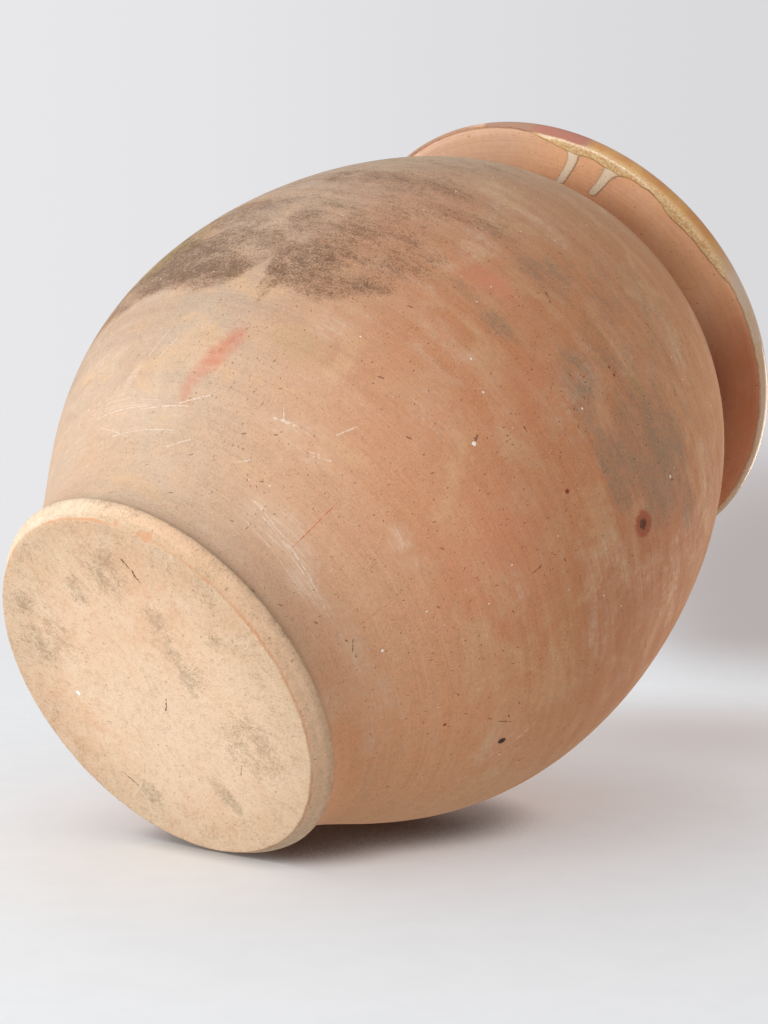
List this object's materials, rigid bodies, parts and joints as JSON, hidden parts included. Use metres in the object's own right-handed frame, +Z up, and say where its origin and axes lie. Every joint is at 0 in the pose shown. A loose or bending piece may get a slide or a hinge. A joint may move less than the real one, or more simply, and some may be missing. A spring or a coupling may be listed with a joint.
{
  "type": "olive jar",
  "caption": "Large earthenware olive jar: flat base, narrow foot ring, swelling belly, short throat, wide flared rim, glazed inside.",
  "frame": {"origin": "centre of the base's underside, on the jar's axis, at the surface the jar stands on", "axes": "+Z up along the jar's axis of turning, out of the mouth; X and Y across the jar, with the two glaze runs under the rim towards +X and -Y"},
  "size_m": [0.412, 0.412, 0.4574],
  "materials": {
    "base_clay": "matt pale cream-tan fired clay, abraded",
    "slipped_clay": "matt cream-slipped clay",
    "bare_terracotta": "matt unglazed terracotta, sooted and scratched",
    "rim_terracotta": "smooth unglazed terracotta",
    "ochre_glaze": "glossy yellow-ochre lead-type glaze",
    "cream_glaze": "thin cream glaze run"
  },
  "bodies": {
    "root": {"base_slab": "base_clay", "foot_ring": "slipped_clay", "lower_wall": "bare_terracotta", "belly_wall": "bare_terracotta", "shoulder_wall": "bare_terracotta", "neck_collar": "rim_terracotta", "rim": "rim_terracotta", "floor_glaze": "ochre_glaze", "mouth_glaze": "ochre_glaze", "glaze_run_long": "cream_glaze", "glaze_run_short": "cream_glaze"}
  },
  "joints": []
}
